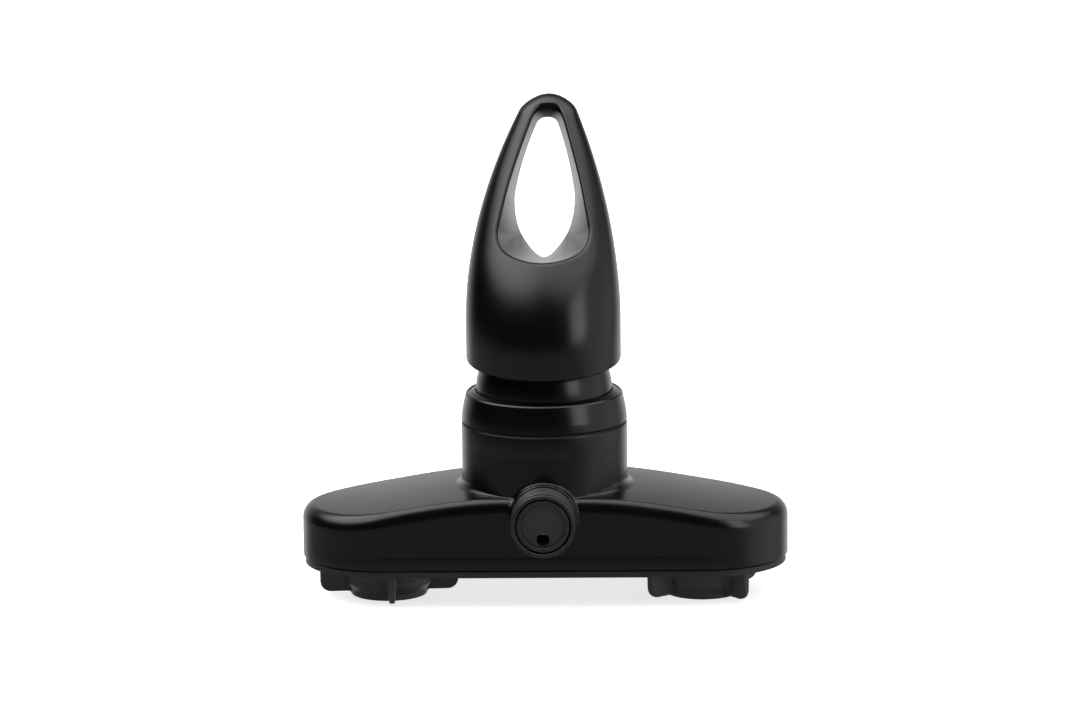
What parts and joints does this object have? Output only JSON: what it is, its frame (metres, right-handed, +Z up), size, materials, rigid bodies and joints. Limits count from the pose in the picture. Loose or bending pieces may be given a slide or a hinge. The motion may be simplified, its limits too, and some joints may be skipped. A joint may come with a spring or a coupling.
{
  "type": "single-lever mixer valve",
  "caption": "Single-lever centre-set mixer valve with a bridge body, loop lever, threaded hose outlet and wing-nut deck mounting.",
  "frame": {"origin": "centre of the base plate's underside, on the deck plane", "axes": "+Z up along the column and the lever's turning axis; -Y out of the hose outlet; +X to the cold side"},
  "size_m": [0.1568, 0.0714, 0.1591],
  "materials": {
    "satin_black": "satin black coating on moulded plastic",
    "handle_black": "satin black coating on moulded plastic",
    "dome_black": "satin black moulded plastic",
    "deck_black": "as-moulded black plastic",
    "nut_black": "as-moulded black plastic, slightly grey",
    "outlet_black": "fine-textured black plastic",
    "white_acetal": "natural acetal",
    "grey_acetal": "grey acetal",
    "ceramic": "lapped alumina",
    "seal_rubber": "black nitrile",
    "screw_steel": "stainless steel",
    "spring_steel": "stainless wire",
    "zinc_stem": "zinc die casting",
    "brass": "machined brass"
  },
  "bodies": {
    "valve_body": {"body_shell": "satin_black", "base_plate": "deck_black", "base_screws": "screw_steel", "manifold": "white_acetal", "manifold_screws": "screw_steel", "hot_shank": "deck_black", "cold_shank": "deck_black", "shank_orings": "seal_rubber", "outlet_nipple": "outlet_black", "outlet_seal": "seal_rubber", "outlet_insert": "outlet_black", "flow_disc": "outlet_black", "check_spring": "spring_steel", "cartridge_base": "white_acetal", "cartridge_base_seals": "seal_rubber", "fixed_disc": "ceramic", "cartridge_housing": "white_acetal", "cartridge_nut": "brass", "collar_ring": "satin_black", "seam_gasket": "seal_rubber", "dome_cap": "dome_black"},
    "hot_nut": {"hot_wing_nut": "nut_black"},
    "cold_nut": {"cold_wing_nut": "nut_black"},
    "poppet": {"check_poppet": "deck_black"},
    "turret": {"lever_carrier": "grey_acetal", "pivot_pin": "spring_steel"},
    "slide_disc": {"moving_disc": "ceramic", "disc_coupler": "grey_acetal"},
    "lever": {"lever_stem": "zinc_stem", "handle_adapter": "brass", "handle_shell": "handle_black", "handle_set_screw": "screw_steel", "screw_plug": "handle_black"}
  },
  "joints": [
    {"name": "handle_turn", "type": "hinge", "parent": "valve_body", "child": "turret", "pos_m": [0, 0, 0.056], "axis": [0, 0, 1], "range_deg": [-50, 50]},
    {"name": "handle_tilt", "type": "hinge", "parent": "turret", "child": "lever", "pos_m": [0, 0, 0.056], "axis": [-1, 0, 0], "range_deg": [0, 25]},
    {"name": "disc_slide", "type": "slide", "parent": "turret", "child": "slide_disc", "axis": [0, -1, 0], "range_m": [0, 0.0045]},
    {"name": "hot_nut_turn", "type": "hinge", "parent": "valve_body", "child": "hot_nut", "pos_m": [-0.0508, 0, -0.005], "axis": [0, 0, 1], "continuous": true},
    {"name": "cold_nut_turn", "type": "hinge", "parent": "valve_body", "child": "cold_nut", "pos_m": [0.0508, 0, -0.005], "axis": [0, 0, 1], "continuous": true},
    {"name": "check_travel", "type": "slide", "parent": "valve_body", "child": "poppet", "axis": [0, -1, 0], "range_m": [0, 0.002], "stiffness_N_per_m": 60, "springref_m": -0.001, "deforming": ["check_spring"]}
  ],
  "couplings": [
    {"joint": "disc_slide", "follows": "handle_tilt", "m_per_rad": 0.00985}
  ]
}
